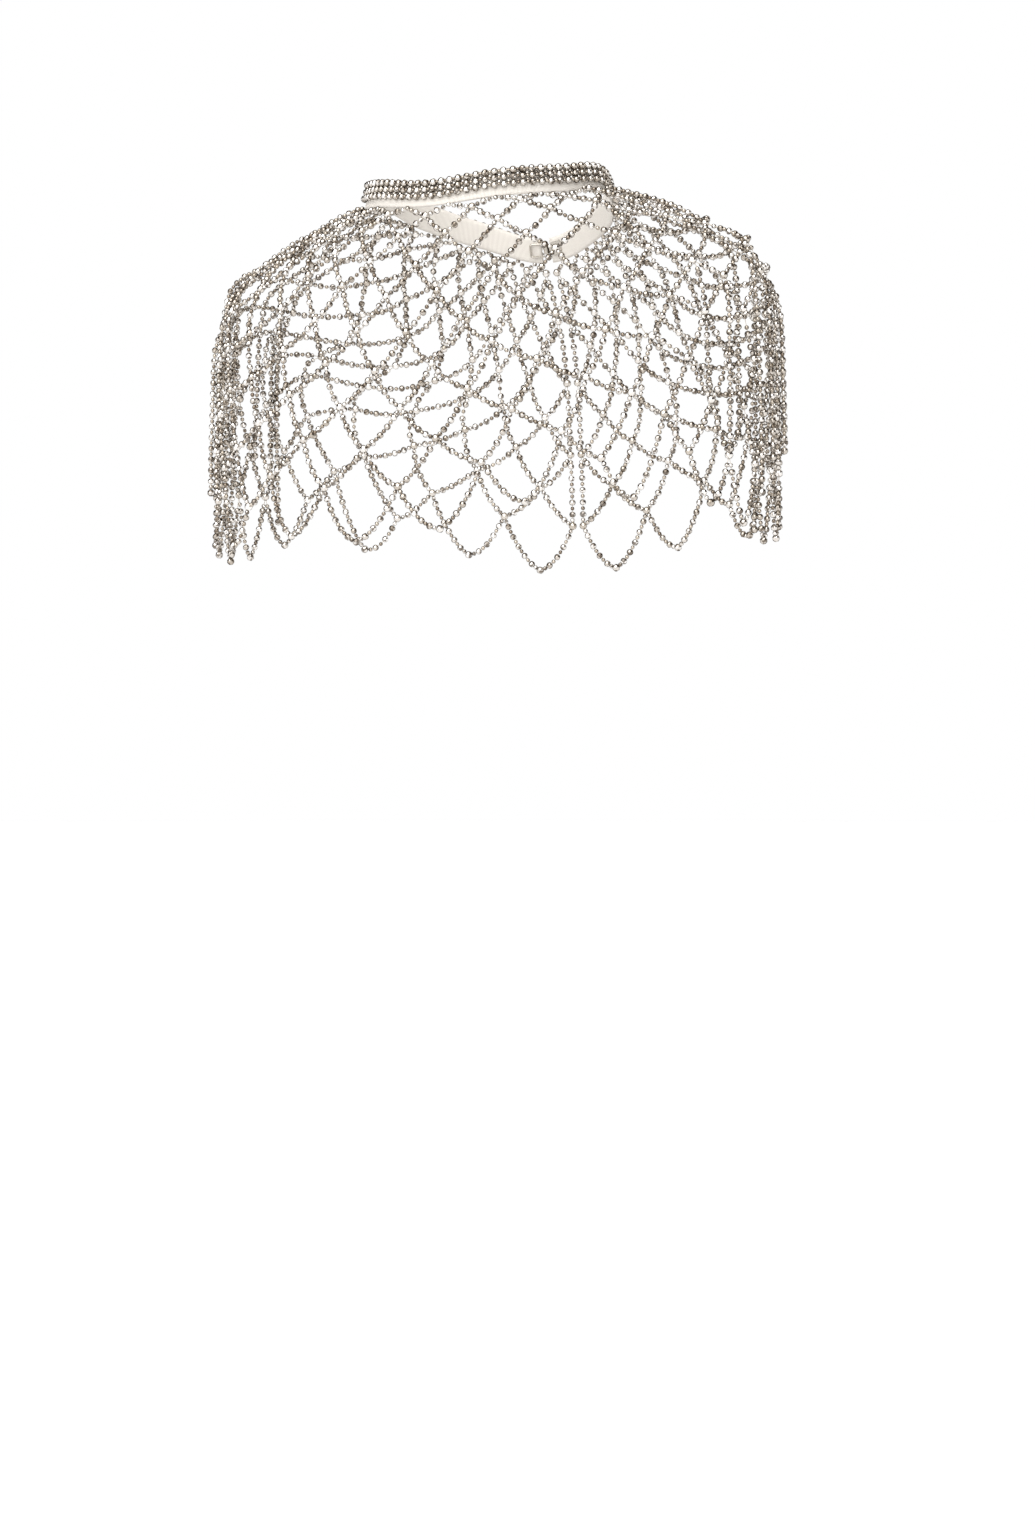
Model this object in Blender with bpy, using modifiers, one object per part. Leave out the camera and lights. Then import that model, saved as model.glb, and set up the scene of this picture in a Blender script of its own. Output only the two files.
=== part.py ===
# Beaded capelet: a neck band carrying three rows of beads, a diamond net of bead strings that
# hangs from it over the shoulders, and a hook clasp that closes the band at the centre front.
# Metres, +Z up. The wearer faces -Y, so the wearer's right is -X. The origin is the middle of
# the neck ring, at the height where the band rests on the shoulders.

import math
from collections import namedtuple

import bmesh
import bpy
from mathutils import Vector

MM = 0.001
SEAM_GAP = 0.0003
COLLECTION_NAME = "beaded_capelet"

# The net is counted in columns from the centre back (0) to the centre front (HALF_COLUMNS),
# positive on the wearer's right, and in rows of crossings from the neck down. Odd rows have
# their crossings on whole columns, even rows on half columns.
HALF_COLUMNS = 13
BACK_ROWS = 9
STRING_SIZE = 4.4 * MM
FRONT_OPENING = 9.0 * MM

# Extra rows of crossings hang over each arm: row number, first and last column that has it.
ARM_ROWS = {10: (2.5, 10.5), 11: (4.0, 9.0)}
HEM_DROP = 0.3
LAST_ROW = 12
NET_ROUNDNESS = 0.45
HEM_ROUNDNESS = 0.75
SHORT_ROWS = 3
SHORT_SEGMENTS = 2
NET_SEGMENTS = 3
HEM_SEGMENTS = 4
MITRE_LIMIT = 2.2

# The net is parted at the centre back, and over each shoulder and down the arm at this depth.
SHOULDER_SEAM = -3.0 * MM

# Each row of the net lies on one ring round the figure, sizes in mm. Heights are given at the
# centre back, the shoulder blade, behind the arm, on the shoulder line and the centre front.
# side_column is the column that crosses the shoulder line. back_step and side_step are the
# degrees that one column takes there. lean is how far the back rows rise to the right.
Ring = namedtuple("Ring", "half_width back_depth front_depth z_back z_blade z_arm z_side z_front "
                          "side_column back_step side_step lean")
RINGS = [
    Ring(92, 78, 83, -24, -19, -15, -9, -45, 4.3, 21.0, 20, 0),
    Ring(97, 80, 86, -30, -22, -17, -11, -51, 4.4, 21.0, 20, 0),
    Ring(116, 86, 95, -45, -33, -23, -17, -66, 4.6, 19.0, 20, 0),
    Ring(136, 92, 103, -65, -48, -35, -23, -84, 4.8, 17.0, 21, 1),
    Ring(158, 98, 110, -87, -64, -46, -30, -104, 5.0, 15.0, 23, 2),
    Ring(184, 104, 115, -112, -87, -59, -39, -128, 5.3, 13.5, 26, 4),
    Ring(209, 108, 118, -138, -108, -75, -53, -154, 5.6, 13.0, 25, 6),
    Ring(217, 111, 120, -164, -134, -92, -74, -180, 6.0, 14.0, 18, 8),
    Ring(220, 113, 122, -191, -161, -112, -103, -206, 6.4, 15.4, 12, 9),
    Ring(221, 114, 123, -218, -192, -142, -137, -232, 6.7, 17.4, 9, 11),
    Ring(222, 115, 124, -245, -222, -172, -171, -258, 6.7, 18.0, 9, 11),
    Ring(222, 116, 125, -272, -252, -206, -208, -284, 6.7, 18.0, 9, 11),
    Ring(222, 117, 126, -298, -282, -240, -257, -310, 6.7, 18.0, 9, 11),
]
HEIGHT_ANGLES = (0.0, 35.0, 65.0, 90.0, 115.0, 145.0, 180.0)
FRONT_ARM_SHARE = 0.2
FRONT_BLADE_SHARE = 0.6

# The neck band is a tape that leans in towards the neck, with the bead rows along its outside.
BAND_TOP = Ring(86, 72, 77, -5, 1, 5, 9, -27, 4.3, 21.0, 20, 0)
BAND_STATIONS = 72
TAPE_THICKNESS = 1.5 * MM
BEAD_ROWS = 3
BEAD_ROW_PITCH = 4.9 * MM
BEAD_ROW_TOP = 2.6 * MM
BEAD_ROW_HALF_FOOT = 2.2 * MM
BEAD_ROW_HALF_CREST = 1.1 * MM
BEAD_ROW_VALLEY = 1.3 * MM
BEAD_ROW_HEIGHT = 4.2 * MM
BAND_END = 4.0 * MM
BAND_LIFT = 3.1 * MM

# The clasp lies inside the tape, places in mm: x along the band from the centre front, and out
# from the inner face of the tape. A strip hook sewn to the wearer's right end of the band goes
# round the bar of a wire loop that is sewn to the left end.
STRIP_THICKNESS = 1.0 * MM
HookStation = namedtuple("HookStation", "x out half_height")
HOOK_PLATE = [
    HookStation(-13.0, -0.8, 5.0),
    HookStation(-6.5, -0.8, 5.0),
    HookStation(-5.0, -0.8, 2.8),
    HookStation(-3.6, -0.8, 2.8),
    HookStation(-2.2, 0.5, 2.8),
    HookStation(-1.0, 0.5, 2.8),
]
HOOK_TIP = HookStation(-2.7, -2.5, 2.8)
HOOK_BEND_RADIUS = 1.5
HOOK_BEND_STEPS = 6
LOOP_BAR_X = -1.0
LOOP_FAR_X = 12.0
LOOP_OUT = -1.0
LOOP_HALF_HEIGHT = 4.6
LOOP_CORNER_RADIUS = 1.5
LOOP_CORNER_STEPS = 4
WIRE_RADIUS = 0.7 * MM


def empty_scene():
    for item in list(bpy.data.objects):
        bpy.data.objects.remove(item, do_unlink=True)


def hermite(x0, y0, slope0, x1, y1, slope1, x):
    span = x1 - x0
    t = (x - x0) / span
    start = (2 * t ** 3 - 3 * t ** 2 + 1) * y0 + (t ** 3 - 2 * t ** 2 + t) * span * slope0
    end = (3 * t ** 2 - 2 * t ** 3) * y1 + (t ** 3 - t ** 2) * span * slope1
    return start + end


def ring_at(row):
    """Return the ring of a row, or of any place between two rows."""
    row = min(max(row, 0.0), len(RINGS) - 1.0)
    first = min(int(row), len(RINGS) - 2)
    t = row - first

    def knot(index):
        if index < 0:
            return [2 * a - b for a, b in zip(RINGS[0], RINGS[1])]
        if index >= len(RINGS):
            return [2 * a - b for a, b in zip(RINGS[-1], RINGS[-2])]
        return RINGS[index]

    values = []
    for p0, p1, p2, p3 in zip(*(knot(first + step) for step in (-1, 0, 1, 2))):
        curve = 2 * p1 + (p2 - p0) * t + (2 * p0 - 5 * p1 + 4 * p2 - p3) * t ** 2
        values.append(0.5 * (curve + (3 * p1 - p0 - 3 * p2 + p3) * t ** 3))
    return Ring(*values)


def column_angle(column, ring):
    """Return the angle of a column round the ring, in degrees from the centre back."""
    end = 180.0 - math.degrees(math.asin(0.5 * FRONT_OPENING / (ring.half_width * MM)))
    place = abs(column)
    if place <= ring.side_column:
        angle = hermite(0, 0, ring.back_step, ring.side_column, 90, ring.side_step, place)
    else:
        front_step = (end - 90) / (HALF_COLUMNS - ring.side_column)
        angle = hermite(ring.side_column, 90, ring.side_step, HALF_COLUMNS, end, front_step, place)
    return math.copysign(angle, column)


def ring_height(angle, ring):
    """Return the height of a ring at an angle, in mm, smooth through its named heights."""
    drop = ring.z_front - ring.z_back
    heights = (ring.z_back, ring.z_blade, ring.z_arm, ring.z_side,
               ring.z_arm + FRONT_ARM_SHARE * drop, ring.z_blade + FRONT_BLADE_SHARE * drop,
               ring.z_front)
    place = min(abs(angle), 180.0)
    last = len(HEIGHT_ANGLES) - 1
    knot = max(i for i in range(last) if HEIGHT_ANGLES[i] <= place)

    def slope(i):
        if i in (0, last):
            return 0.0
        before = (heights[i] - heights[i - 1]) / (HEIGHT_ANGLES[i] - HEIGHT_ANGLES[i - 1])
        after = (heights[i + 1] - heights[i]) / (HEIGHT_ANGLES[i + 1] - HEIGHT_ANGLES[i])
        return 0.0 if before * after <= 0 else 2 * before * after / (before + after)

    return hermite(HEIGHT_ANGLES[knot], heights[knot], slope(knot),
                   HEIGHT_ANGLES[knot + 1], heights[knot + 1], slope(knot + 1), place)


def ring_point(angle, ring):
    """Return the point of a ring at an angle in degrees from the centre back."""
    across = math.sin(math.radians(angle))
    back = math.cos(math.radians(angle))
    depth = ring.back_depth if back >= 0 else ring.front_depth
    height = ring_height(angle, ring) + max(back, 0.0) * 2 * across * ring.lean
    return Vector((-ring.half_width * across, depth * back, height)) * MM


def net_point(column, row):
    ring = ring_at(row)
    return ring_point(column_angle(column, ring), ring)


def net_normal(column, row):
    """Return the direction that faces away from the figure, square to the net."""
    step = 0.05
    across = net_point(column + step, row) - net_point(column - step, row)
    row = min(max(row, step), LAST_ROW - step)
    down = net_point(column, row + step) - net_point(column, row - step)
    return down.cross(across).normalized()


def is_crossing(row, column):
    if abs(column) > HALF_COLUMNS or row < 0:
        return False
    if row <= BACK_ROWS:
        return True
    first, last = ARM_ROWS.get(row, (1.0, 0.0))
    return first <= abs(column) <= last


def hangs_in_net(row, column):
    """Say whether strings meet here, in a crossing or at the bottom of a hem loop."""
    if abs(column) > HALF_COLUMNS:
        return False
    return row <= BACK_ROWS or (is_crossing(row - 1, column - 0.5)
                                and is_crossing(row - 1, column + 0.5))


def meeting_row(row, column):
    return row if is_crossing(row, column) else min(row + HEM_DROP, LAST_ROW)


class NetSkin:
    """The net as a sheet of cells that share the points of their strings."""

    def __init__(self):
        self.mesh = bmesh.new()
        self.points = {}
        self.outward = {}

    def point(self, column, row):
        key = (round(column, 6), round(row, 6))
        if key not in self.points:
            self.points[key] = self.mesh.verts.new(net_point(column, row))
            self.outward[self.points[key]] = net_normal(column, row)
        return self.points[key]

    def string(self, row, column, side):
        """Return the points of the string that falls half a column to one side."""
        bottom_column = column + 0.5 * side
        bottom_row = meeting_row(row + 1, bottom_column)
        hem = not is_crossing(row + 1, bottom_column)
        roundness = HEM_ROUNDNESS if hem else NET_ROUNDNESS
        segments = SHORT_SEGMENTS if row < SHORT_ROWS else NET_SEGMENTS
        if hem:
            segments = HEM_SEGMENTS
        verts = []
        for step in range(segments + 1):
            t = step / segments
            fall = t + roundness * t * (1 - t)
            verts.append(self.point(column + (bottom_column - column) * t,
                                    row + (bottom_row - row) * fall))
        return verts

    def face(self, verts):
        """Make one face, turned so that it faces away from the figure."""
        made = self.mesh.faces.new(verts)
        made.normal_update()
        if made.normal.dot(self.outward[verts[0]]) < 0:
            made.normal_flip()

    def cell(self, row, column):
        """Make the cell below a crossing: two strings down, and two strings up again."""
        left = self.string(row, column, -1) + self.string(row + 1, column - 0.5, 1)[1:]
        right = self.string(row, column, 1) + self.string(row + 1, column + 0.5, -1)[1:]
        self.face(left + right[-2:0:-1])

    def edge_cell(self, row, side):
        """Make the half cell at the front opening, closed by the string along the edge."""
        column = side * HALF_COLUMNS
        slope = self.string(row, column, -side)
        slope += self.string(row + 1, column - 0.5 * side, side)[1:]
        self.face(slope + [self.point(column, row + 1)])


def columns_of(row):
    first = 0.0 if row % 2 else 0.5
    columns = []
    for step in range(-HALF_COLUMNS - 1, HALF_COLUMNS + 1):
        if abs(step + first) <= HALF_COLUMNS:
            columns.append(step + first)
    return columns


def net_skin():
    skin = NetSkin()
    for row in range(LAST_ROW - 1):
        for column in columns_of(row):
            if not is_crossing(row, column):
                continue
            if abs(column) == HALF_COLUMNS:
                if is_crossing(row + 2, column):
                    skin.edge_cell(row, int(math.copysign(1, column)))
                continue
            sides = is_crossing(row + 1, column - 0.5) and is_crossing(row + 1, column + 0.5)
            if sides and hangs_in_net(row + 2, column):
                skin.cell(row, column)
    return skin


def beside(before, vert, after, outward):
    """Return the point half a string's width to the left of a corner, seen from outside."""
    sides = Vector((0, 0, 0))
    for run in (vert.co - before.co, after.co - vert.co):
        sides += outward.cross(run).normalized()
    reach = min(2 / max(sides.length, 0.01), MITRE_LIMIT)
    return vert.co + sides.normalized() * (0.5 * STRING_SIZE * reach)


def net_bars():
    """Put a four-sided bar on every edge of the cells, joined at the points they share."""
    skin = net_skin()
    bars = bmesh.new()
    crest = {}
    for vert, outward in skin.outward.items():
        rise = outward * (0.5 * STRING_SIZE)
        crest[vert] = (bars.verts.new(vert.co + rise), bars.verts.new(vert.co - rise))
    circuits = [list(face.verts) for face in skin.mesh.faces]
    circuits += outer_circuits(skin.mesh)
    for circuit in circuits:
        count = len(circuit)
        flank = []
        for i, vert in enumerate(circuit):
            place = beside(circuit[i - 1], vert, circuit[(i + 1) % count], skin.outward[vert])
            flank.append(bars.verts.new(place))
        for i, vert in enumerate(circuit):
            j = (i + 1) % count
            outer, inner = crest[vert]
            next_outer, next_inner = crest[circuit[j]]
            bars.faces.new((outer, next_outer, flank[j], flank[i]))
            bars.faces.new((next_inner, inner, flank[i], flank[j]))
    skin.mesh.free()
    return bars


def outer_circuits(mesh):
    """Return the rims of the sheet as rings of points, with the outside on their left."""
    after = {}
    for edge in mesh.edges:
        if edge.is_boundary:
            loop = edge.link_loops[0]
            after[loop.link_loop_next.vert] = loop.vert
    circuits = []
    while after:
        vert = next(iter(after))
        circuit = []
        while vert in after:
            circuit.append(vert)
            vert = after.pop(vert)
        circuits.append(circuit)
    return circuits


def material(name, color, metallic, roughness):
    new = bpy.data.materials.new(name)
    new.use_nodes = True
    shader = new.node_tree.nodes["Principled BSDF"]
    shader.inputs["Base Color"].default_value = (*color, 1.0)
    shader.inputs["Metallic"].default_value = metallic
    shader.inputs["Roughness"].default_value = roughness
    new.diffuse_color = (*color, 1.0)
    return new


def add_object(name, mesh_source, finish, collection):
    """Make one named part from a bmesh, with its own material."""
    mesh = bpy.data.meshes.new(name)
    mesh_source.to_mesh(mesh)
    mesh_source.free()
    mesh.materials.append(finish)
    item = bpy.data.objects.new(name, mesh)
    collection.objects.link(item)
    return item


def build_net(collection):
    """Make the net, and part it into a back and a front for each side."""
    whole = net_bars()
    for side_name, side in (("right", -1), ("left", 1)):
        half = whole.copy()
        part_net(half, Vector((0, 0, 0)), Vector((side, 0, 0)))
        for end_name, facing in (("back", 1), ("front", -1)):
            panel = half.copy()
            part_net(panel, Vector((0, SHOULDER_SEAM, 0)), Vector((0, facing, 0)))
            bmesh.ops.triangulate(panel, faces=panel.faces)
            bmesh.ops.recalc_face_normals(panel, faces=panel.faces)
            name = "net_" + side_name + "_" + end_name
            silver = material(name + "_silver", (0.72, 0.7, 0.67), 1.0, 0.2)
            add_object(name, panel, silver, collection)
        half.free()
    whole.free()


def part_net(mesh, place, facing):
    """Cut a closed mesh through a place, keep the side that is faced and close the cuts."""
    everything = mesh.verts[:] + mesh.edges[:] + mesh.faces[:]
    bmesh.ops.bisect_plane(mesh, geom=everything, plane_co=place + facing * (0.5 * SEAM_GAP),
                           plane_no=facing, clear_inner=True)
    open_edges = [edge for edge in mesh.edges if edge.is_boundary]
    bmesh.ops.holes_fill(mesh, edges=open_edges, sides=0)


def band_frame(angle):
    """Return where the band's inside starts at an angle, which way is up and out, and its height."""
    bottom = ring_point(angle, RINGS[0])
    top = ring_point(angle, BAND_TOP)
    up = (top - bottom).normalized()
    bottom += up * BAND_LIFT
    height = (top - bottom).length
    along = ring_point(angle + 1, BAND_TOP) - ring_point(angle - 1, BAND_TOP)
    outward = along.cross(up).normalized()
    if outward.dot(Vector((top.x, top.y, 0))) < 0:
        outward.negate()
    return bottom - outward * TAPE_THICKNESS, up, outward, height


def band_section(angle):
    """Return the outline of the band at an angle: the plain inside, then the beaded outside."""
    inside, up, outward, height = band_frame(angle)
    profile = [(0.0, 0.0), (0.0, height), (TAPE_THICKNESS, height)]
    for row in range(BEAD_ROWS):
        middle = height - BEAD_ROW_TOP - row * BEAD_ROW_PITCH
        profile.append((TAPE_THICKNESS + BEAD_ROW_VALLEY, middle + BEAD_ROW_HALF_FOOT))
        profile.append((TAPE_THICKNESS + BEAD_ROW_HEIGHT, middle + BEAD_ROW_HALF_CREST))
        profile.append((TAPE_THICKNESS + BEAD_ROW_HEIGHT, middle - BEAD_ROW_HALF_CREST))
        profile.append((TAPE_THICKNESS + BEAD_ROW_VALLEY, middle - BEAD_ROW_HALF_FOOT))
    profile.append((TAPE_THICKNESS, 0.0))
    return [inside + outward * out + up * rise for out, rise in profile]


def build_band(collection):
    """Sweep the band's section round the neck, from one end at the front to the other."""
    mesh = bmesh.new()
    end = 180.0 - math.degrees(math.asin(BAND_END / (BAND_TOP.half_width * MM)))
    loops = []
    for station in range(BAND_STATIONS + 1):
        angle = end * (2 * station / BAND_STATIONS - 1)
        loops.append([mesh.verts.new(point) for point in band_section(angle)])
    count = len(loops[0])
    for first, second in zip(loops, loops[1:]):
        for i in range(count):
            j = (i + 1) % count
            mesh.faces.new((first[i], first[j], second[j], second[i]))
    caps = [mesh.faces.new(loops[0]), mesh.faces.new(loops[-1][::-1])]
    bmesh.ops.triangulate(mesh, faces=caps)
    bmesh.ops.recalc_face_normals(mesh, faces=mesh.faces)
    add_object("neck_band", mesh, material("neck_tape", (0.62, 0.56, 0.48), 0.0, 0.8), collection)


def clasp_point(x, out, rise):
    """Return a place at the front of the band, with rise from the middle of its height."""
    angle = 180.0 + math.degrees(math.asin(x / BAND_TOP.half_width))
    inside, up, outward, height = band_frame(angle)
    return inside + outward * (out * MM) + up * (0.5 * height + rise * MM)


def build_hook(collection):
    """Bend a flat strip into the hook: a sewn plate, a neck, and a bend round the bar."""
    path = list(HOOK_PLATE)
    for step in range(1, HOOK_BEND_STEPS + 1):
        turn = math.radians(90 - 180 * step / HOOK_BEND_STEPS)
        path.append(HookStation(LOOP_BAR_X + HOOK_BEND_RADIUS * math.cos(turn),
                                LOOP_OUT + HOOK_BEND_RADIUS * math.sin(turn),
                                HOOK_TIP.half_height))
    path.append(HOOK_TIP)
    mesh = bmesh.new()
    edges = []
    for place in path:
        edges.append([mesh.verts.new(clasp_point(place.x, place.out, rise))
                      for rise in (-place.half_height, place.half_height)])
    for (low, high), (next_low, next_high) in zip(edges, edges[1:]):
        mesh.faces.new((low, next_low, next_high, high))
    hook = add_object("clasp_hook", mesh,
                      material("clasp_hook_steel", (0.6, 0.58, 0.55), 1.0, 0.25), collection)
    strip = hook.modifiers.new("strip", "SOLIDIFY")
    strip.thickness = STRIP_THICKNESS
    strip.offset = 0
    strip.use_even_offset = True


def build_loop(collection):
    """Bend round wire into a rounded rectangle that lies flat inside the band."""
    inset = LOOP_CORNER_RADIUS
    corners = [(LOOP_FAR_X - inset, LOOP_HALF_HEIGHT - inset, 0),
               (LOOP_BAR_X + inset, LOOP_HALF_HEIGHT - inset, 90),
               (LOOP_BAR_X + inset, inset - LOOP_HALF_HEIGHT, 180),
               (LOOP_FAR_X - inset, inset - LOOP_HALF_HEIGHT, 270)]
    places = []
    for middle_x, middle_rise, start in corners:
        for step in range(LOOP_CORNER_STEPS + 1):
            turn = math.radians(start + 90 * step / LOOP_CORNER_STEPS)
            places.append(clasp_point(middle_x + LOOP_CORNER_RADIUS * math.cos(turn), LOOP_OUT,
                                      middle_rise + LOOP_CORNER_RADIUS * math.sin(turn)))
    curve = bpy.data.curves.new("clasp_loop", "CURVE")
    curve.dimensions = "3D"
    curve.bevel_depth = WIRE_RADIUS
    curve.bevel_resolution = 2
    spline = curve.splines.new("POLY")
    spline.points.add(len(places) - 1)
    for point, place in zip(spline.points, places):
        point.co = (*place, 1.0)
    spline.use_cyclic_u = True
    curve.materials.append(material("clasp_loop_steel", (0.62, 0.6, 0.57), 1.0, 0.25))
    collection.objects.link(bpy.data.objects.new("clasp_loop", curve))


def main():
    empty_scene()
    collection = bpy.data.collections.new(COLLECTION_NAME)
    bpy.context.scene.collection.children.link(collection)
    build_net(collection)
    build_band(collection)
    build_hook(collection)
    build_loop(collection)


main()
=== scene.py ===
# Beaded capelet, dressed: strings of silver beads on thread, a beaded neck tape and its clasp.
# Metres, +Z up. The clasp is at the front, -Y, and the net's right half is at -X.
import math
import random
from collections import namedtuple
from itertools import product

import bmesh
import bpy
import numpy as np
from mathutils import Matrix, Vector


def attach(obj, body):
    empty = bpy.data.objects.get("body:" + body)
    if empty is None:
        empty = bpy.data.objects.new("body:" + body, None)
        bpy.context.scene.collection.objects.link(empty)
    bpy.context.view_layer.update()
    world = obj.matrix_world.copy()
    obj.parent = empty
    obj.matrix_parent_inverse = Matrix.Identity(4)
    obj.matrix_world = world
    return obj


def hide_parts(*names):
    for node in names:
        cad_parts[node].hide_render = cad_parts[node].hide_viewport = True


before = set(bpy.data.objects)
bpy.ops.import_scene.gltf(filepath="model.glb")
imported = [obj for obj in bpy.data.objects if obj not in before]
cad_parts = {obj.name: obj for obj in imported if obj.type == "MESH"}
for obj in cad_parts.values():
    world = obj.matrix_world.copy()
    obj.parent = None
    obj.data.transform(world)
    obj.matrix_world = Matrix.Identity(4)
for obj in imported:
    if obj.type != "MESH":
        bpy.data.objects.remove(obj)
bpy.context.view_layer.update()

mm = 0.001
print("loaded the frame:", sorted(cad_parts))


# The camera stands behind and to the right, level, with the neck band high in the frame.
cameraPlace = {
    "azimuth": 212.0,           # degrees
    "distance": 2.6,            # m from the neck band's axis
    "across": 0.0208,           # m from that axis
    "height": -0.4035,          # m from the neck band
    "lens": 87.4,               # mm
    "sensor": 36,               # mm on the picture's long side
}


def makeCamera(place):
    turn = math.radians(place["azimuth"])
    towards = Vector((math.sin(turn), -math.cos(turn), 0))
    across = Vector((math.cos(turn), math.sin(turn), 0))
    data = bpy.data.cameras.new("studioCamera")
    data.lens = place["lens"]
    data.sensor_width = place["sensor"]
    camera = bpy.data.objects.new("studioCamera", data)
    camera.location = towards * place["distance"] + across * place["across"]
    camera.location.z = place["height"]
    camera.rotation_euler = (-towards).to_track_quat("-Z", "Y").to_euler()
    bpy.context.scene.collection.objects.link(camera)
    bpy.context.scene.camera = camera
    return towards, across


towardsCamera, acrossCamera = makeCamera(cameraPlace)
print("placed the camera")


def hexColour(text):
    # an sRGB hex value as linear RGBA
    parts = [int(text[i:i + 2], 16) / 255 for i in (1, 3, 5)]
    return (*[c / 12.92 if c <= 0.04045 else ((c + 0.055) / 1.055) ** 2.4 for c in parts], 1.0)


def addNode(tree, kind, settings, sockets):
    node = tree.nodes.new(kind)
    for key, value in settings.items():
        setattr(node, key, value)
    for key, value in sockets.items():
        if isinstance(value, bpy.types.NodeSocket):
            tree.links.new(value, node.inputs[key])
        else:
            node.inputs[key].default_value = value
    return node


def newFinish(name, sockets):
    finish = bpy.data.materials.new(name)
    finish.use_nodes = True
    shader = finish.node_tree.nodes["Principled BSDF"]
    for key, value in sockets.items():
        shader.inputs[key].default_value = value
    return finish, finish.node_tree, shader


def beadColour(tree, look):
    # each bead's own tone, between dull and bright
    tone = addNode(tree, "ShaderNodeAttribute", {"attribute_name": "tone"}, {})
    colour = addNode(tree, "ShaderNodeMix", {"data_type": "RGBA"},
                     {0: tone.outputs["Fac"], 6: hexColour(look["dull"]),
                      7: hexColour(look["bright"])})
    return colour.outputs[2]


def addGrain(tree, shader, look):
    # a fine grain that varies the gloss and dents the surface
    place = addNode(tree, "ShaderNodeTexCoord", {}, {})
    grain = addNode(tree, "ShaderNodeTexNoise", {},
                    {"Vector": place.outputs["Object"], "Scale": 1 / (look["grainMm"] * mm),
                     "Detail": 2.0})
    gloss = addNode(tree, "ShaderNodeMapRange", {},
                    {"Value": grain.outputs["Fac"], "From Min": look["grainRange"][0],
                     "From Max": look["grainRange"][1], "To Min": look["roughness"][0],
                     "To Max": look["roughness"][1]})
    tree.links.new(gloss.outputs["Result"], shader.inputs["Roughness"])
    dents = addNode(tree, "ShaderNodeBump", {},
                    {"Height": grain.outputs["Fac"], "Strength": look["dentStrength"],
                     "Distance": look["dentMm"] * mm})
    tree.links.new(dents.outputs["Normal"], shader.inputs["Normal"])


def silveredGlass(name, reflectionPatchRange):
    # round glass beads coated with silver: mirror bright, a little warm, no two quite alike,
    # and with darker patches between two levels of a noise: painted dark reflections in the base
    # colour
    look = {"bright": "#fbf9f6", "dull": "#bdb5aa", "paintedReflection": "#62574b", "rim": "#2b241d",
            "paintedReflectionShare": 0.85, "paintedReflectionMm": 2.6, "roughness": (0.05, 0.14), "grainMm": 0.7,
            "grainRange": (0.3, 0.7), "dentStrength": 0.25, "dentMm": 0.08}
    finish, tree, shader = newFinish(name, {
        "Metallic": 1.0, "Specular Tint": hexColour(look["rim"])})
    place = addNode(tree, "ShaderNodeTexCoord", {}, {})
    patches = addNode(tree, "ShaderNodeTexNoise", {},
                      {"Vector": place.outputs["Object"], "Scale": 1 / (look["paintedReflectionMm"] * mm),
                       "Detail": 0.0})
    share = addNode(tree, "ShaderNodeMapRange", {},
                    {"Value": patches.outputs["Fac"], "From Min": reflectionPatchRange[0],
                     "From Max": reflectionPatchRange[1], "To Min": 0.0, "To Max": look["paintedReflectionShare"]})
    # painted reflection: dark patches mixed into the base colour
    colour = addNode(tree, "ShaderNodeMix", {"data_type": "RGBA"},
                     {0: share.outputs["Result"], 6: beadColour(tree, look),
                      7: hexColour(look["paintedReflection"])})
    tree.links.new(colour.outputs[2], shader.inputs["Base Color"])
    addGrain(tree, shader, look)
    return finish


def shadedSpacerSilver():
    # small seed beads of the same metal, painted a darker taupe for the shade between the round
    # beads: painted shade
    look = {"bright": "#cbc2b5", "dull": "#83776a", "rim": "#221c17"}
    finish, tree, shader = newFinish("paintedShadeSeedBead", {
        "Metallic": 1.0, "Roughness": 0.2, "Specular Tint": hexColour(look["rim"])})
    tree.links.new(beadColour(tree, look), shader.inputs["Base Color"])
    return finish


def foiledCrystal():
    # cut glass with a silver foil behind it: near white, its facets too small to tell apart
    look = {"bright": "#faf8f5", "dull": "#c6beb3", "rim": "#1f1913"}
    finish, tree, shader = newFinish("silverFoiledCrystal", {
        "Metallic": 1.0, "Roughness": 0.04, "Specular Tint": hexColour(look["rim"])})
    tree.links.new(beadColour(tree, look), shader.inputs["Base Color"])
    return finish


def nylonThread():
    # bonded nylon beading thread: off-white, faintly waxy
    look = {"pale": "#e2dacd", "shade": "#b9ae9f", "fibreMm": 0.35}
    finish, tree, shader = newFinish("bondedNylonThread", {"Roughness": 0.55})
    place = addNode(tree, "ShaderNodeTexCoord", {}, {})
    fibre = addNode(tree, "ShaderNodeTexNoise", {},
                    {"Vector": place.outputs["Object"], "Scale": 1 / (look["fibreMm"] * mm)})
    colour = addNode(tree, "ShaderNodeMix", {"data_type": "RGBA"},
                     {0: fibre.outputs["Fac"], 6: hexColour(look["shade"]),
                      7: hexColour(look["pale"])})
    tree.links.new(colour.outputs[2], shader.inputs["Base Color"])
    return finish


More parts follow.
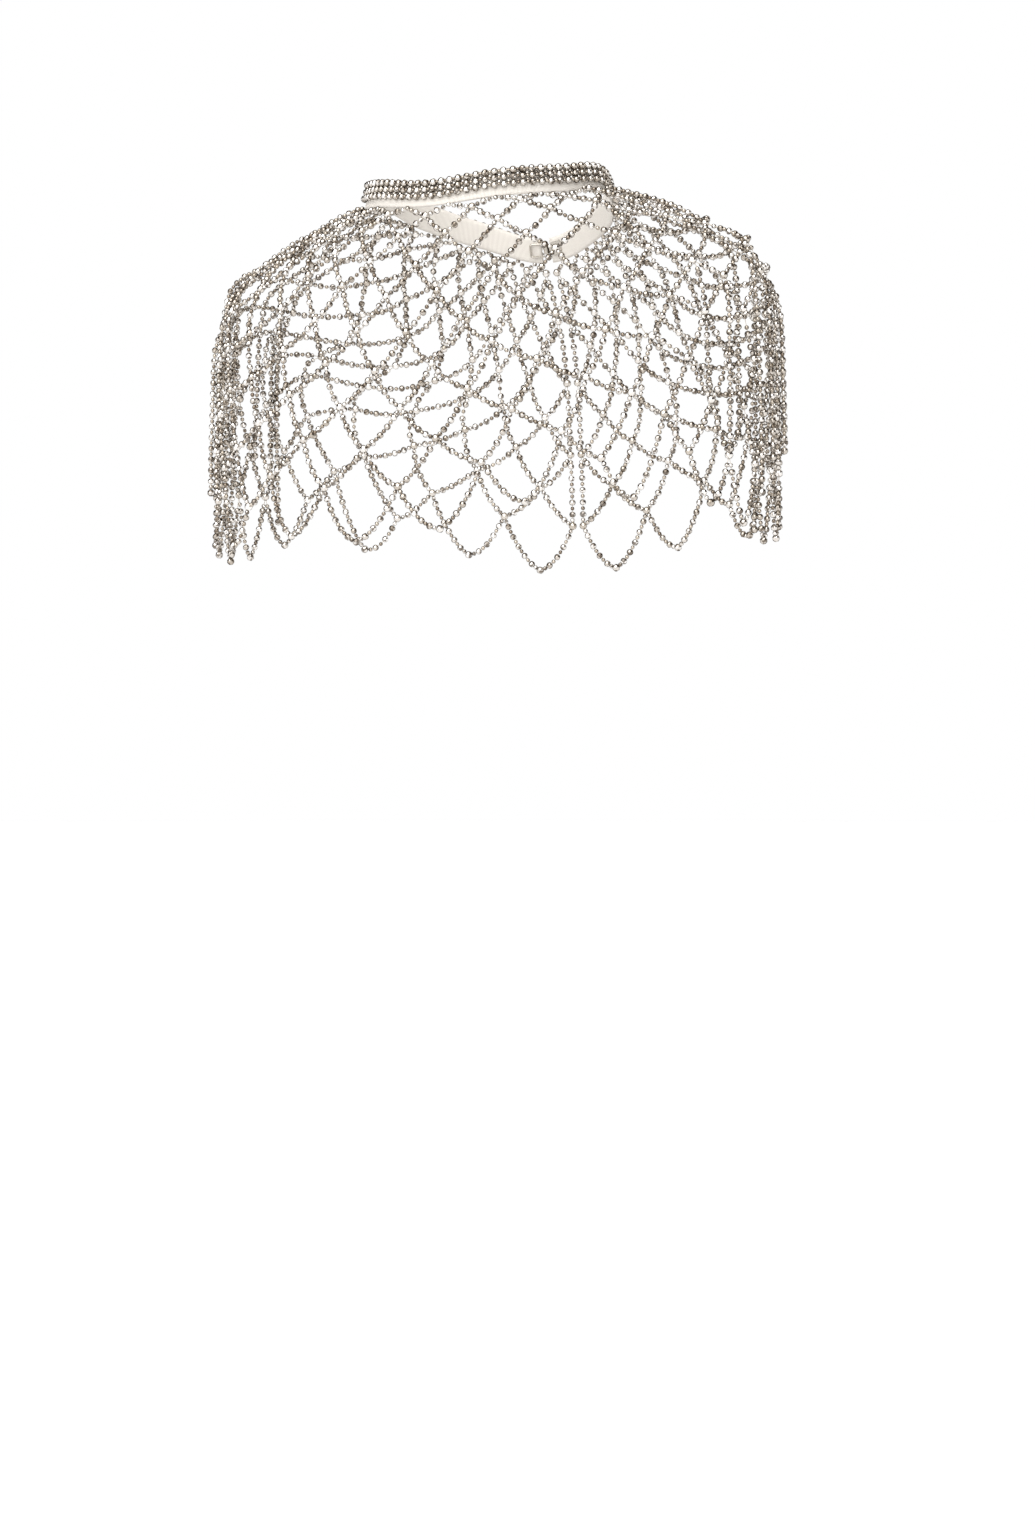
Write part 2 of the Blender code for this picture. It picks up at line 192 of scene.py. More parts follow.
def grosgrainTape():
    # woven cotton grosgrain: cross ribs, drawn 0.9 mm apart so that they show
    look = {"rib": "#eae6df", "valley": "#b4ada4", "ribMm": 0.9, "ribWander": 0.4,
            "fibreMm": 0.4, "fibreShare": 0.4, "reliefStrength": 0.6, "reliefMm": 0.15}
    finish, tree, shader = newFinish("cottonGrosgrainTape", {
        "Roughness": 0.85, "Sheen Weight": 0.3, "Sheen Roughness": 0.4})
    cloth = addNode(tree, "ShaderNodeUVMap", {"uv_map": "clothMm"}, {})
    ribs = addNode(tree, "ShaderNodeTexWave", {"wave_type": "BANDS", "bands_direction": "X"},
                   {"Vector": cloth.outputs["UV"], "Scale": math.pi / 10 / look["ribMm"],
                    "Distortion": look["ribWander"], "Detail Scale": 2.0})
    fibre = addNode(tree, "ShaderNodeTexNoise", {},
                    {"Vector": cloth.outputs["UV"], "Scale": 1 / look["fibreMm"]})
    weave = addNode(tree, "ShaderNodeMath", {"operation": "MULTIPLY_ADD"},
                    {0: fibre.outputs["Fac"], 1: look["fibreShare"], 2: ribs.outputs["Fac"]})
    colour = addNode(tree, "ShaderNodeMix", {"data_type": "RGBA"},
                     {0: weave.outputs[0], 6: hexColour(look["valley"]),
                      7: hexColour(look["rib"])})
    tree.links.new(colour.outputs[2], shader.inputs["Base Color"])
    relief = addNode(tree, "ShaderNodeBump", {},
                     {"Height": weave.outputs[0], "Strength": look["reliefStrength"],
                      "Distance": look["reliefMm"] * mm})
    tree.links.new(relief.outputs["Normal"], shader.inputs["Normal"])
    return finish


def nickelPlate():
    # nickel-plated steel wire and strip, tumbled: a satin shine over a fine grain
    look = {"plate": "#c9c4bb", "roughness": (0.18, 0.38), "grainMm": 0.25,
            "grainRange": (0.0, 1.0), "dentStrength": 0.2, "dentMm": 0.03}
    finish, tree, shader = newFinish("nickelPlatedSteel", {
        "Base Color": hexColour(look["plate"]), "Metallic": 1.0})
    addGrain(tree, shader, look)
    return finish


silver = silveredGlass("silveredGlassBead", (0.52, 0.61))
bandSilver = silveredGlass("silveredGlassBandBead", (0.59, 0.68))     # fewer painted dark reflections
spacerShadeSilver = shadedSpacerSilver()
crystal = foiledCrystal()
thread = nylonThread()
tapeCloth = grosgrainTape()
nickel = nickelPlate()
print("made the finishes")


# The hang of the net: a ring for each row of crossings, as in the solids.
net = {
    "halfColumns": 13,       # columns from the centre back to the centre front
    "fullRows": 9,           # rows of crossings that go all round
    "sideRows": {10: (2.5, 10.5), 11: (4.0, 9.0)},     # first and last column of the others
    "lastRow": 12,
    "hemDrop": 0.3,          # of a row, below the next one
    "roundness": 0.45,       # how early a string falls, 0 for a straight one
    "hemRoundness": 0.75,
    "frontOpening": 9.0,     # mm
    "frontSideShare": 0.2,   # of the drop from back to front, at 115 degrees
    "frontQuarterShare": 0.6,     # and at 145 degrees
    "steps": 14,             # points along a string
}

# mm and degrees: heights at the centre back, 35 and 65 degrees round, the side and the front,
# the column at the side, how many degrees a column takes at the back and at the side, and a
# lean, which lifts the back on the right and lowers it on the left, most at 45 degrees
Ring = namedtuple("Ring", "halfWidth backDepth frontDepth zBack zQuarter zNearSide zSide zFront "
                          "sideColumn backStep sideStep lean")
rings = [
    Ring(92, 78, 83, -24, -19, -15, -9, -45, 4.3, 21.0, 20, 0),
    Ring(97, 80, 86, -30, -22, -17, -11, -51, 4.4, 21.0, 20, 0),
    Ring(116, 86, 95, -45, -33, -23, -17, -66, 4.6, 19.0, 20, 0),
    Ring(136, 92, 103, -65, -48, -35, -23, -84, 4.8, 17.0, 21, 1),
    Ring(158, 98, 110, -87, -64, -46, -30, -104, 5.0, 15.0, 23, 2),
    Ring(184, 104, 115, -112, -87, -59, -39, -128, 5.3, 13.5, 26, 4),
    Ring(209, 108, 118, -138, -108, -75, -53, -154, 5.6, 13.0, 25, 6),
    Ring(217, 111, 120, -164, -134, -92, -74, -180, 6.0, 14.0, 18, 8),
    Ring(220, 113, 122, -191, -161, -112, -103, -206, 6.4, 15.4, 12, 9),
    Ring(221, 114, 123, -218, -192, -142, -137, -232, 6.7, 17.4, 9, 11),
    Ring(222, 115, 124, -245, -222, -172, -171, -258, 6.7, 18.0, 9, 11),
    Ring(222, 116, 125, -272, -252, -206, -208, -284, 6.7, 18.0, 9, 11),
    Ring(222, 117, 126, -298, -282, -240, -257, -310, 6.7, 18.0, 9, 11),
]
heightAngles = (0.0, 35.0, 65.0, 90.0, 115.0, 145.0, 180.0)
bandTop = Ring(86, 72, 77, -5, 1, 5, 9, -27, 4.3, 21.0, 20, 0)


def hermite(x0, y0, slope0, x1, y1, slope1, x):
    # a smooth curve through two points, with a slope at each
    span = x1 - x0
    t = (x - x0) / span
    start = (2 * t ** 3 - 3 * t ** 2 + 1) * y0 + (t ** 3 - 2 * t ** 2 + t) * span * slope0
    end = (3 * t ** 2 - 2 * t ** 3) * y1 + (t ** 3 - t ** 2) * span * slope1
    return start + end


def ringAt(row):
    # the ring of a row, or of any place between two rows
    row = min(max(row, 0.0), len(rings) - 1.0)
    first = min(int(row), len(rings) - 2)
    t = row - first

    def knot(index):
        if index < 0:
            return [2 * a - b for a, b in zip(rings[0], rings[1])]
        if index >= len(rings):
            return [2 * a - b for a, b in zip(rings[-1], rings[-2])]
        return rings[index]

    values = []
    for p0, p1, p2, p3 in zip(*(knot(first + step) for step in (-1, 0, 1, 2))):
        curve = 2 * p1 + (p2 - p0) * t + (2 * p0 - 5 * p1 + 4 * p2 - p3) * t ** 2
        values.append(0.5 * (curve + (3 * p1 - p0 - 3 * p2 + p3) * t ** 3))
    return Ring(*values)


def columnAngle(column, ring):
    # degrees round the ring from the centre back
    end = 180.0 - math.degrees(math.asin(0.5 * net["frontOpening"] / ring.halfWidth))
    place = abs(column)
    if place <= ring.sideColumn:
        angle = hermite(0, 0, ring.backStep, ring.sideColumn, 90, ring.sideStep, place)
    else:
        frontStep = (end - 90) / (net["halfColumns"] - ring.sideColumn)
        angle = hermite(ring.sideColumn, 90, ring.sideStep, net["halfColumns"], end, frontStep,
                        place)
    return math.copysign(angle, column)


def ringHeight(angle, ring):
    # mm, smooth through the ring's named heights
    drop = ring.zFront - ring.zBack
    heights = (ring.zBack, ring.zQuarter, ring.zNearSide, ring.zSide,
               ring.zNearSide + net["frontSideShare"] * drop,
               ring.zQuarter + net["frontQuarterShare"] * drop, ring.zFront)
    place = min(abs(angle), 180.0)
    last = len(heightAngles) - 1
    knot = max(i for i in range(last) if heightAngles[i] <= place)

    def slope(i):
        if i in (0, last):
            return 0.0
        before = (heights[i] - heights[i - 1]) / (heightAngles[i] - heightAngles[i - 1])
        after = (heights[i + 1] - heights[i]) / (heightAngles[i + 1] - heightAngles[i])
        return 0.0 if before * after <= 0 else 2 * before * after / (before + after)

    return hermite(heightAngles[knot], heights[knot], slope(knot),
                   heightAngles[knot + 1], heights[knot + 1], slope(knot + 1), place)


def ringPoint(angle, ring):
    # in metres, at an angle round a ring
    across = math.sin(math.radians(angle))
    back = math.cos(math.radians(angle))
    depth = ring.backDepth if back >= 0 else ring.frontDepth
    height = ringHeight(angle, ring) + max(back, 0.0) * 2 * across * ring.lean
    return Vector((-ring.halfWidth * across, depth * back, height)) * mm


def netPoint(column, row):
    ring = ringAt(row)
    return ringPoint(columnAngle(column, ring), ring)


def outwardAt(angle, row):
    # the direction that faces out of the net
    step = 0.05
    row = min(max(row, step), net["lastRow"] - step)
    across = ringPoint(angle + step, ringAt(row)) - ringPoint(angle - step, ringAt(row))
    down = ringPoint(angle, ringAt(row + step)) - ringPoint(angle, ringAt(row - step))
    return down.cross(across).normalized()


def isCrossing(row, column):
    if abs(column) > net["halfColumns"] or row < 0:
        return False
    if row <= net["fullRows"]:
        return True
    first, last = net["sideRows"].get(row, (1.0, 0.0))
    return first <= abs(column) <= last


def stringsMeet(row, column):
    # in a crossing or at the bottom of a hem loop
    if abs(column) > net["halfColumns"]:
        return False
    return row <= net["fullRows"] or (isCrossing(row - 1, column - 0.5)
                                      and isCrossing(row - 1, column + 0.5))


def fallingString(row, column, side):
    # the line of the string that falls half a column to one side, and the row that it ends in
    endColumn = column + 0.5 * side
    hem = not isCrossing(row + 1, endColumn)
    endRow = min(row + 1 + net["hemDrop"], net["lastRow"]) if hem else row + 1
    roundness = net["hemRoundness"] if hem else net["roundness"]
    line = []
    for step in range(net["steps"] + 1):
        t = step / net["steps"]
        fall = t + roundness * t * (1 - t)
        line.append(netPoint(column + (endColumn - column) * t, row + (endRow - row) * fall))
    return line, (endColumn, endRow)


def columnsOf(row):
    first = 0.0 if row % 2 else 0.5
    columns = [step + first for step in range(-net["halfColumns"] - 1, net["halfColumns"] + 1)]
    return [column for column in columns if abs(column) <= net["halfColumns"]]


def allStrings():
    # every string of the net: its half, its line, and the crossing at each end
    found = []
    for row in range(net["lastRow"]):
        for column in columnsOf(row):
            if not isCrossing(row, column):
                continue
            for side in (-1, 1):
                if stringsMeet(row + 1, column + 0.5 * side):
                    line, end = fallingString(row, column, side)
                    half = "right" if column + 0.25 * side > 0 else "left"
                    found.append((half, line, (column, row), end))
            # each front edge is closed by straight strings
            edge = abs(column) == net["halfColumns"]
            if edge and isCrossing(row + 2, column):
                line = [netPoint(column, row + 2 * step / net["steps"])
                        for step in range(net["steps"] + 1)]
                half = "right" if column > 0 else "left"
                found.append((half, line, (column, row), (column, row + 2)))
    return found


# Along the top and down the sides the net has closed up. These strings run beside its own:
# from one crossing to another, given as two columns and rows, or from a crossing to the row
# of a free end.
closedUp = {
    "runs": ((3.5, 0, 4.5, 4), (4.5, 0, 5, 5), (4.5, 0, 5.5, 4), (5.5, 0, 6, 5), (3.5, 2, 4, 5)),
    "hangs": ((4.5, 6, 10.2), (5, 7, 10.9), (4.5, 4, 10.6), (5, 5, 11.4), (5.5, 6, 11.9),
              (6, 7, 10.8), (5.5, 4, 10.2), (7, 7, 10.6), (6, 5, 11.5), (6.5, 6, 10.4)),
    "lift": 3.6,            # mm off the net, outside and inside in turn
    "rise": 5,              # they have left it after a fifth of their length
    "sway": 2.5,            # degrees round the net, at most
    "swayTurn": 2.4,        # radians from one string's sway to the next
    "steps": 30,
}


def stringBeside(angles, rows, lift, meets):
    # it leaves the net at its top, and meets it again below unless its end is free
    line = []
    for step in range(closedUp["steps"] + 1):
        t = step / closedUp["steps"]
        angle = angles[0] + (angles[1] - angles[0]) * t
        row = rows[0] + (rows[1] - rows[0]) * t
        rise = min(closedUp["rise"] * t, 1)
        if meets:
            rise = min(rise, closedUp["rise"] * (1 - t))
        line.append(ringPoint(angle, ringAt(row)) + outwardAt(angle, row) * rise * lift * mm)
    return line


def closedUpStrings():
    found = []
    for half, side in (("right", 1), ("left", -1)):
        for column, row, endColumn, endRow in closedUp["runs"]:
            angles = [side * columnAngle(place, ringAt(level))
                      for place, level in ((column, row), (endColumn, endRow))]
            line = stringBeside(angles, (row, endRow), closedUp["lift"], True)
            found.append((half, line, (side * column, row), (side * endColumn, endRow)))
        for i, (column, row, endRow) in enumerate(closedUp["hangs"]):
            angle = side * columnAngle(column, ringAt(row))
            sway = closedUp["sway"] * math.sin(closedUp["swayTurn"] * i + side)
            lift = closedUp["lift"] * (1 if i % 2 else -1)
            line = stringBeside((angle, angle + sway), (row, endRow), lift, False)
            found.append((half, line, (side * column, row), (side * column, endRow)))
    return found


strings = allStrings() + closedUpStrings()
print("laid out", len(strings), "strings,",
      round(sum((b - a).length for s in strings for a, b in zip(s[1], s[1][1:])), 2), "m")


Bead = namedtuple("Bead", "centre along size tone")
beadSizes = {
    "round": 4.8,        # mm across
    "spacer": 3.2,       # length on the thread, between two round beads
    "small": 3.3,        # beside a crossing
    "crystal": 5.8,
    "hemDrop": 5.5,      # at the bottom of each hem loop
    "roundAt": (8.4, 12.0),     # from a crossing's middle: the least and the most
    "smallAt": (4.3, 7.0),
    "shortest": 0.6,     # of the pitch: with less room, a string carries one round bead
    "spread": 0.035,     # how much the sizes differ
    "closest": 0.68,     # of the distance at which two beads just touch
    "cell": 1.3,         # of a crystal: the cells in which close beads are looked for
}
# each shape is 1 mm across, its hole along Z, dimpled where the hole comes out
beadShapes = {
    "round": {"sides": 8, "bands": 6, "width": 1.0, "length": 0.97, "dimple": 0.88},
    "spacer": {"sides": 6, "bands": 4, "width": 0.95, "length": 1.0, "dimple": 0.9},
    "crystal": {"sides": 9, "bands": 6, "width": 1.0, "length": 0.95, "dimple": 0.8},
}
dice = random.Random(11)


def makeBead(sides, bands, width, length, dimple):
    bead = bmesh.new()
    bmesh.ops.create_uvsphere(bead, u_segments=sides, v_segments=bands, radius=0.5 * mm)
    bmesh.ops.scale(bead, vec=(width, width, length), verts=bead.verts)
    poles = [v for v in bead.verts if math.hypot(v.co.x, v.co.y) < 0.01 * mm]
    bmesh.ops.scale(bead, vec=(1, 1, dimple), verts=poles)
    return bead


def addTone(mesh, tones, count):
    attribute = mesh.attributes.new("tone", "FLOAT", "POINT")
    attribute.data.foreach_set("value", np.repeat(np.array(tones, np.float32), count))


def strew(name, shape, beads, finish):
    # one joined mesh with a copy of the shape at each bead's place; its faces are sorted,
    # because the sphere operator gives them in another order on each run
    corners = np.array([v.co for v in shape.verts])
    faces = sorted([v.index for v in face.verts] for face in shape.faces)
    points = []
    for bead in beads:
        turn = bead.along.to_track_quat("Z", "Y").to_matrix()
        turn = turn @ Matrix.Rotation(dice.uniform(0, 2 * math.pi), 3, "Z")
        points.append(corners @ (np.array(turn).T * bead.size) + np.array(bead.centre))
    rows = [[k + i * len(corners) for k in face] for i in range(len(beads)) for face in faces]
    mesh = bpy.data.meshes.new(name)
    mesh.from_pydata(np.concatenate(points).tolist(), [], rows)
    addTone(mesh, [bead.tone for bead in beads], len(corners))
    mesh.polygons.foreach_set("use_smooth", [True] * len(mesh.polygons))
    mesh.materials.append(finish)
    piece = bpy.data.objects.new(name, mesh)
    bpy.context.scene.collection.objects.link(piece)
    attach(piece, "root")
    return piece


def lengthsAlong(line):
    lengths = [0.0]
    for a, b in zip(line, line[1:]):
        lengths.append(lengths[-1] + (b - a).length)
    return lengths


def placeOn(line, lengths, distance):
    # the point and the direction at a distance along a line
    distance = min(max(distance, 0.0), lengths[-1])
    i = max(k for k in range(len(line) - 1) if lengths[k] <= distance)
    run = line[i + 1] - line[i]
    t = (distance - lengths[i]) / max(run.length, 1e-9)
    return line[i] + run * t, run.normalized()


def newBead(centre, along, size):
    size *= 1 + dice.uniform(-beadSizes["spread"], beadSizes["spread"])
    return Bead(centre, along, size, dice.random())


def narrowestAngles():
    # at each end of each string, half the angle to the nearest other string of that crossing,
    # and where each crossing is
    ends, spots = {}, {}
    for i, (half, line, top, bottom) in enumerate(strings):
        ends.setdefault(top, []).append((i, 0, (line[2] - line[0]).normalized()))
        ends.setdefault(bottom, []).append((i, 1, (line[-3] - line[-1]).normalized()))
        spots.setdefault(top, line[0])
        spots.setdefault(bottom, line[-1])
    halves = {}
    for meeting in ends.values():
        for i, end, away in meeting:
            others = [away.angle(other) for k, which, other in meeting if (k, which) != (i, end)]
            halves[i, end] = 0.5 * min(others, default=math.pi)
    return halves, spots


def clearOf(kind, halfAngle):
    # how far from a crossing a bead clears the same bead on the next string
    least, most = beadSizes[kind + "At"]
    if math.sin(halfAngle) * most < 0.5 * beadSizes[kind]:
        return most * mm
    return max(0.5 * beadSizes[kind] / math.sin(halfAngle), least) * mm


def withoutClashes(beads):
    # where strings crowd together, a bead that would lie deep in another is left off its string
    cell = beadSizes["cell"] * beadSizes["crystal"] * mm
    least = 0.5 * beadSizes["closest"] * mm
    kept, taken = {}, {}
    for kind in ("crystal", "small", "round", "spacer"):
        for half in ("right", "left"):
            kept[kind, half] = []
            for bead in beads[kind, half]:
                place = [math.floor(value / cell) for value in bead.centre]
                near = [other for shift in product((-1, 0, 1), repeat=3)
                        for other in taken.get(tuple(map(sum, zip(place, shift))), ())]
                if all((bead.centre - other.centre).length > least * (bead.size + other.size)
                       for other in near):
                    kept[kind, half].append(bead)
                    taken.setdefault(tuple(place), []).append(bead)
    return kept


def runBeads(beads, half, line, halfAngles):
    # round beads and spacers in turn along one string, and a small bead near each end
    def lay(kind, distance):
        spot, along = placeOn(line, lengths, distance)
        beads[kind, half].append(newBead(spot, along, beadSizes[kind]))

    lengths = lengthsAlong(line)
    pitch = (beadSizes["round"] + beadSizes["spacer"]) * mm
    start = clearOf("round", halfAngles[0])
    stop = lengths[-1] - clearOf("round", halfAngles[1])
    if stop - start < beadSizes["shortest"] * pitch:
        start = stop = 0.5 * (start + stop)
    gaps = round((stop - start) / pitch)
    step = (stop - start) / max(gaps, 1)
    for k in range(gaps + 1):
        lay("round", start + k * step)
        if k < gaps:
            lay("spacer", start + (k + 0.5) * step)
    lay("small", clearOf("small", halfAngles[0]))
    lay("small", lengths[-1] - clearOf("small", halfAngles[1]))


def endBead(beads, column, row, spot):
    # a small bead under the tape, a crystal at a crossing, a large round bead at a low end
    half = "right" if column >= 0 else "left"
    outward = outwardAt(columnAngle(column, ringAt(row)), row)
    if row == 0:
        beads["small", half].append(newBead(spot, outward, beadSizes["small"]))
    elif isCrossing(row, column):
        beads["crystal", half].append(newBead(spot, outward, beadSizes["crystal"]))
    else:
        side = netPoint(column + 0.1, row) - netPoint(column - 0.1, row)
        beads["round", half].append(newBead(spot, side.normalized(), beadSizes["hemDrop"]))


def stringBeads():
    halfAngles, spots = narrowestAngles()
    beads = {(kind, half): [] for kind in ("round", "small", "spacer", "crystal")
             for half in ("right", "left")}
    for i, (half, line, top, bottom) in enumerate(strings):
        runBeads(beads, half, line, (halfAngles[i, 0], halfAngles[i, 1]))
    for (column, row), spot in spots.items():
        endBead(beads, column, row, spot)
    return beads


netBeads = withoutClashes(stringBeads())
roundShape, spacerShape, crystalShape = [makeBead(**beadShapes[kind])
                                         for kind in ("round", "spacer", "crystal")]
netPieces = {}
for half in ("right", "left"):
    name = half.capitalize()
    rounds = strew("roundBeads" + name, roundShape, netBeads["round", half], silver)
    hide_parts("net_" + half + "_back", "net_" + half + "_front")
    netPieces[half] = [
        rounds,
        strew("smallBeads" + name, roundShape, netBeads["small", half], silver),
        strew("spacerBeads" + name, spacerShape, netBeads["spacer", half], spacerShadeSilver),
        strew("crossingCrystals" + name, crystalShape, netBeads["crystal", half], crystal)]
    print("strung the", half, "half:",
          {kind: len(netBeads[kind, half]) for kind in beadSizes if (kind, half) in netBeads})


threadSize = {
    "across": 0.5,     # mm
    "every": 2,        # it runs through every second point of a string's line
}


def threadPiece(name, lines):
    curve = bpy.data.curves.new(name, "CURVE")
    curve.dimensions = "3D"
    curve.bevel_depth = 0.5 * threadSize["across"] * mm
    curve.bevel_resolution = 0
    for line in lines:
        spline = curve.splines.new("POLY")
        spline.points.add(len(line) - 1)
        for point, place in zip(spline.points, line):
            point.co = (*place, 1.0)
    source = bpy.data.objects.new(name + "Line", curve)
    bpy.context.scene.collection.objects.link(source)
    bpy.context.view_layer.update()
    mesh = bpy.data.meshes.new_from_object(source.evaluated_get(
        bpy.context.evaluated_depsgraph_get()))
    mesh.name = name
    mesh.materials.clear()
    mesh.materials.append(thread)
    bpy.data.objects.remove(source)
    piece = bpy.data.objects.new(name, mesh)
    bpy.context.scene.collection.objects.link(piece)
    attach(piece, "root")
    return piece


# a strung net has no fixed flat size: a thread runs through each half's strings, one piece for
# each half
for half in ("right", "left"):
    lines = [line[::threadSize["every"]] for side, line, top, bottom in strings if side == half]
    netPieces[half].append(threadPiece("stringThread" + half.capitalize(), lines))
print("ran the thread")


# The neck band: a grosgrain tape with rows of beads sewn side by side. Sizes in mm.
band = {
    "lift": 3.1,             # from the net's top row to where the bead rows are measured
    "reach": 1.9,            # how far the tape comes down below that, to the net
    "setBack": 1.5,          # from the net's top row in to the tape's inner face
    "endGap": 4.0,           # from the centre front to the tape's end
    "thickness": 1.3,
    "selvedge": 0.35,        # how much thicker the woven edges are
    "selvedgeWidth": 0.8,
    "clothHeight": 15,       # of the weave's pattern, across the tape
    "stations": 180,         # faces along the tape
    "across": 8,             # and across it
    "rowTop": 2.6,           # from the tape's upper edge to the first row of beads
    "rowPitch": 4.9,
    "rows": (5.4, 4.7, 4.7),     # the size of each row's round beads
    "columnPitch": 6.3,
    "spacer": 2.4,
    "filler": 2.7,           # in the hollow between four round beads
    "roundOut": 0.46,        # how far out each bead sits, as a share of its size
    "fillerOut": 0.45,
    "spacerOut": 2.88,       # mm, on the thread between two round beads
    "measures": 720,         # points at which the tape's length is measured
}
bandEnd = 180.0 - math.degrees(math.asin(band["endGap"] / bandTop.halfWidth))


def bandFrame(angle):
    # where the tape's inner face starts, which way is up and out, and the tape's height
    bottom = ringPoint(angle, rings[0])
    top = ringPoint(angle, bandTop)
    up = (top - bottom).normalized()
    bottom += up * band["lift"] * mm
    height = (top - bottom).length
    along = ringPoint(angle + 1, bandTop) - ringPoint(angle - 1, bandTop)
    outward = along.cross(up).normalized()
    if outward.dot(Vector((top.x, top.y, 0))) < 0:
        outward.negate()
    return bottom - outward * band["setBack"] * mm, up, outward, height


def anglesByLength(pitch):
    # angles round the band at an even distance, near the one asked for, measured along the
    # middle of its height, and its whole length there
    steps = band["measures"]
    angles = [bandEnd * (2 * i / steps - 1) for i in range(steps + 1)]
    middles = []
    for angle in angles:
        inside, up, outward, height = bandFrame(angle)
        middles.append(inside + up * 0.5 * height)
    lengths = lengthsAlong(middles)
    count = round((lengths[-1] - beadSizes["round"] * mm) / (pitch * mm))
    edge = 0.5 * beadSizes["round"] * mm
    wanted = [edge + (lengths[-1] - 2 * edge) * i / count for i in range(count + 1)]
    return list(np.interp(wanted, lengths, angles)), lengths[-1]


def makeTape():
    # a flat grid bent along the band's line, with the tape's own millimetres as its UV map
    tape = bmesh.new()
    bmesh.ops.create_grid(tape, x_segments=band["stations"], y_segments=band["across"], size=1)
    cloth = tape.loops.layers.uv.new("clothMm")
    length = anglesByLength(band["columnPitch"])[1]
    for face in tape.faces:
        for loop in face.loops:
            loop[cloth].uv = (0.5 * (loop.vert.co.x + 1) * length / mm,
                              0.5 * (loop.vert.co.y + 1) * band["clothHeight"])
    for vert in tape.verts:
        inside, up, outward, height = bandFrame(bandEnd * vert.co.x)
        rise = 0.5 * (vert.co.y + 1)
        rise -= (1 - rise) * band["reach"] * mm / height
        inFromEdge = (1 - abs(vert.co.y)) * 0.5 * height
        edge = math.exp(-(inFromEdge / (band["selvedgeWidth"] * mm)) ** 2)
        out = (band["thickness"] + band["selvedge"] * edge) * mm
        vert.co = inside + up * height * rise + outward * out
    bmesh.ops.recalc_face_normals(tape, faces=tape.faces)
    middles = [(face, face.calc_center_median()) for face in tape.faces]
    if sum(face.normal.x * middle.x + face.normal.y * middle.y for face, middle in middles) < 0:
        bmesh.ops.reverse_faces(tape, faces=tape.faces)
    mesh = bpy.data.meshes.new("neckTape")
    tape.to_mesh(mesh)
    tape.free()
    mesh.materials.append(tapeCloth)
    mesh.polygons.foreach_set("use_smooth", [True] * len(mesh.polygons))
    piece = bpy.data.objects.new("neckTape", mesh)
    bpy.context.scene.collection.objects.link(piece)
    wall = piece.modifiers.new("wall", "SOLIDIFY")
    wall.thickness = band["thickness"] * mm
    wall.offset = -1
    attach(piece, "root")
    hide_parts("neck_band")
    return piece


def tapeBead(angle, down, size, out, upright):
    # a bead sewn on the tape, its hole along the tape or upright
    inside, up, outward, height = bandFrame(angle)
    spot = inside + up * (height - down * mm) + outward * (band["thickness"] + out) * mm
    return newBead(spot, up if upright else up.cross(outward), size)


def tapeBeads():
    # column by column round the tape: round beads, and between them spacers and fillers
    angles = anglesByLength(band["columnPitch"])[0]
    rounds, smalls = [], []
    for i, angle in enumerate(angles):
        for row, size in enumerate(band["rows"]):
            down = band["rowTop"] + row * band["rowPitch"]
            rounds.append(tapeBead(angle, down, size, band["roundOut"] * size, False))
            if i + 1 == len(angles):
                continue
            middle = 0.5 * (angle + angles[i + 1])
            smalls.append(tapeBead(middle, down, band["spacer"], band["spacerOut"], False))
            if row + 1 < len(band["rows"]):
                rounds.append(tapeBead(middle, down + 0.5 * band["rowPitch"], band["filler"],
                                       band["fillerOut"] * band["filler"], True))
    return rounds, smalls


makeTape()
tapeRounds, tapeSmalls = tapeBeads()
strew("neckRoundBeads", roundShape, tapeRounds, bandSilver)
strew("neckSmallBeads", spacerShape, tapeSmalls, spacerShadeSilver)
print("sewed the neck band:", len(tapeRounds), "round beads,", len(tapeSmalls), "small")


# The clasp's solids keep their shape and take a plated finish.
for name in ("clasp_hook", "clasp_loop"):
    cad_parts[name].data.materials.clear()
    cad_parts[name].data.materials.append(nickel)
print("plated the clasp")


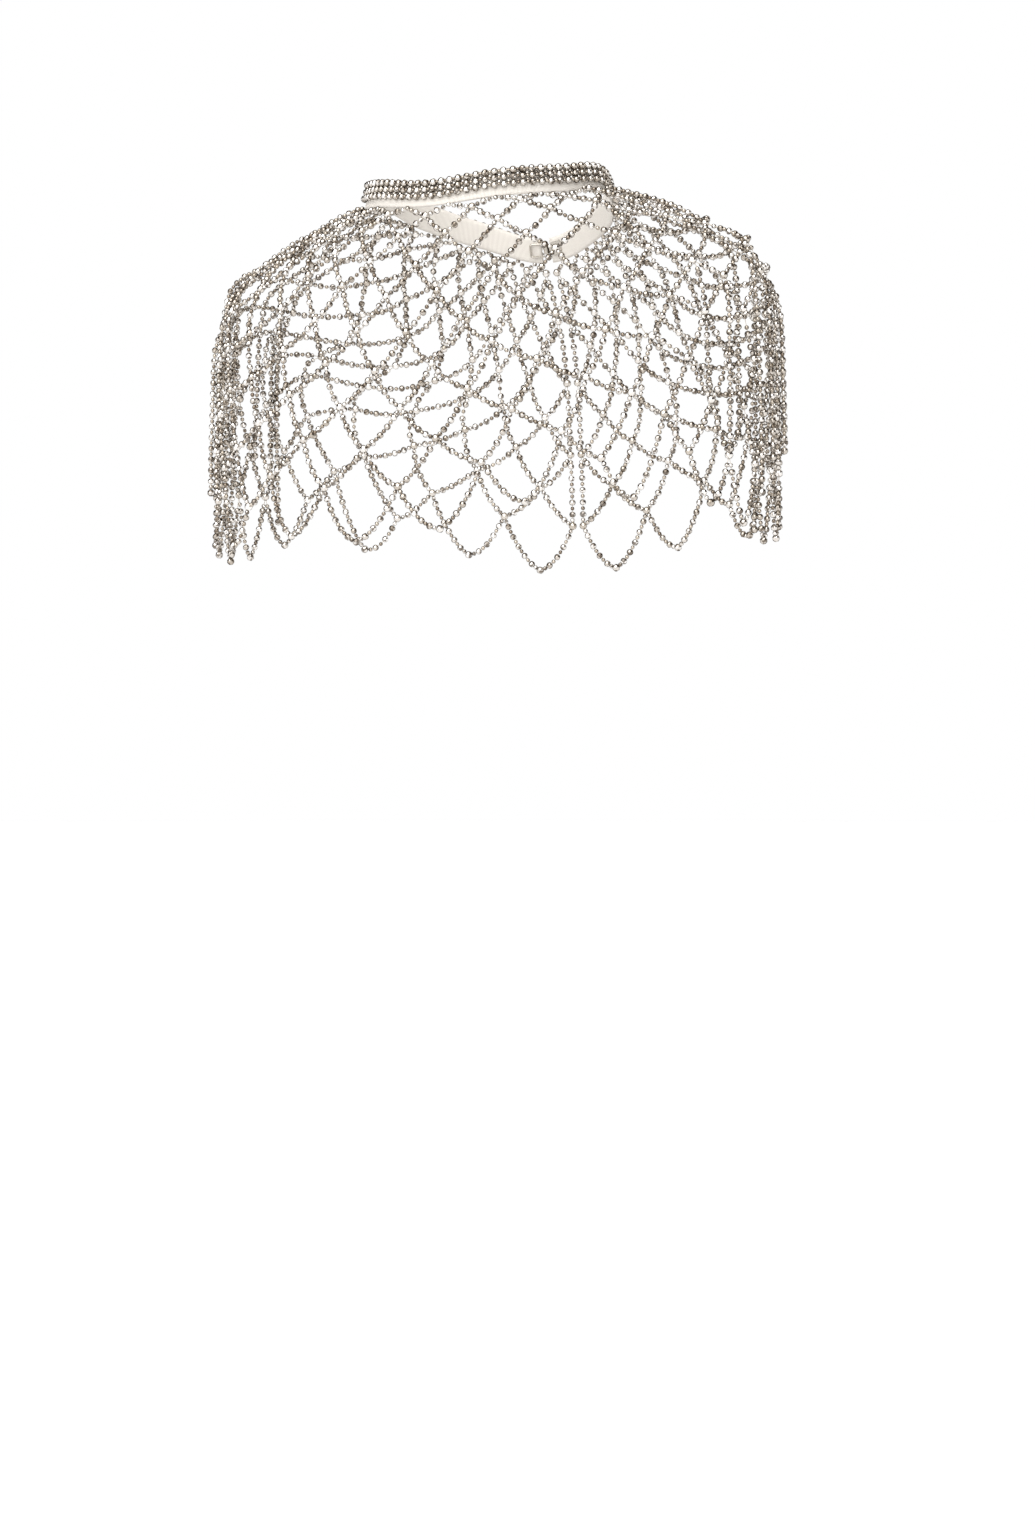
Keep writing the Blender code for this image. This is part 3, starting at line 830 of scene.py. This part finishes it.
studio = {
    "floorHeight": -1.45,        # m
    "floorRadius": 60.0,
    "floorColour": "#f7f7f8",
    # strength, angle in degrees, and the way to it: towards the camera, across, and up
    "suns": {"softKey": (3.9, 82.0, 0.9, -0.4, 0.9), "softFill": (0.9, 50.0, -0.9, 0.5, 0.6)},
    "domeStrength": 1.0,
    # the dome's colours from its horizon up: white, then dark for the beads to mirror
    "domeStops": ((0.0, "#ffffff"), (0.21, "#ffffff"), (0.25, "#332b25"), (0.7, "#4a4139"),
                  (0.9, "#b8b0a6")),
}


def makeFloor():
    floor = bmesh.new()
    bmesh.ops.create_circle(floor, cap_ends=True, segments=64, radius=studio["floorRadius"])
    bmesh.ops.translate(floor, vec=(0, 0, studio["floorHeight"]), verts=floor.verts)
    mesh = bpy.data.meshes.new("studioFloor")
    floor.to_mesh(mesh)
    floor.free()
    paint = newFinish("paleStudioFloor", {
        "Base Color": hexColour(studio["floorColour"]), "Roughness": 0.9})[0]
    mesh.materials.append(paint)
    piece = bpy.data.objects.new("studioFloor", mesh)
    bpy.context.scene.collection.objects.link(piece)


def makeSuns():
    # a soft key beside the camera, and a weaker fill for the side that faces away from it
    for name, (strength, angle, towards, across, up) in studio["suns"].items():
        data = bpy.data.lights.new(name, "SUN")
        data.energy = strength
        data.angle = math.radians(angle)
        lamp = bpy.data.objects.new(name, data)
        shine = towardsCamera * towards + acrossCamera * across + Vector((0, 0, up))
        lamp.rotation_euler = shine.to_track_quat("Z", "Y").to_euler()
        bpy.context.scene.collection.objects.link(lamp)


def makeDome():
    world = bpy.data.worlds.new("studioDome")
    bpy.context.scene.world = world
    world.use_nodes = True
    tree = world.node_tree
    place = addNode(tree, "ShaderNodeTexCoord", {}, {})
    parts = addNode(tree, "ShaderNodeSeparateXYZ", {}, {"Vector": place.outputs["Generated"]})
    dome = addNode(tree, "ShaderNodeValToRGB", {}, {"Fac": parts.outputs["Z"]})
    ramp = dome.color_ramp
    while len(ramp.elements) < len(studio["domeStops"]):
        ramp.elements.new(0.5)
    for element, (position, colour) in zip(ramp.elements, studio["domeStops"]):
        element.position = position
        element.color = hexColour(colour)
    background = tree.nodes["Background"]
    tree.links.new(dome.outputs["Color"], background.inputs["Color"])
    background.inputs["Strength"].default_value = studio["domeStrength"]
    bpy.context.scene.view_settings.view_transform = "Standard"


makeFloor()
makeSuns()
makeDome()
print("set the studio")
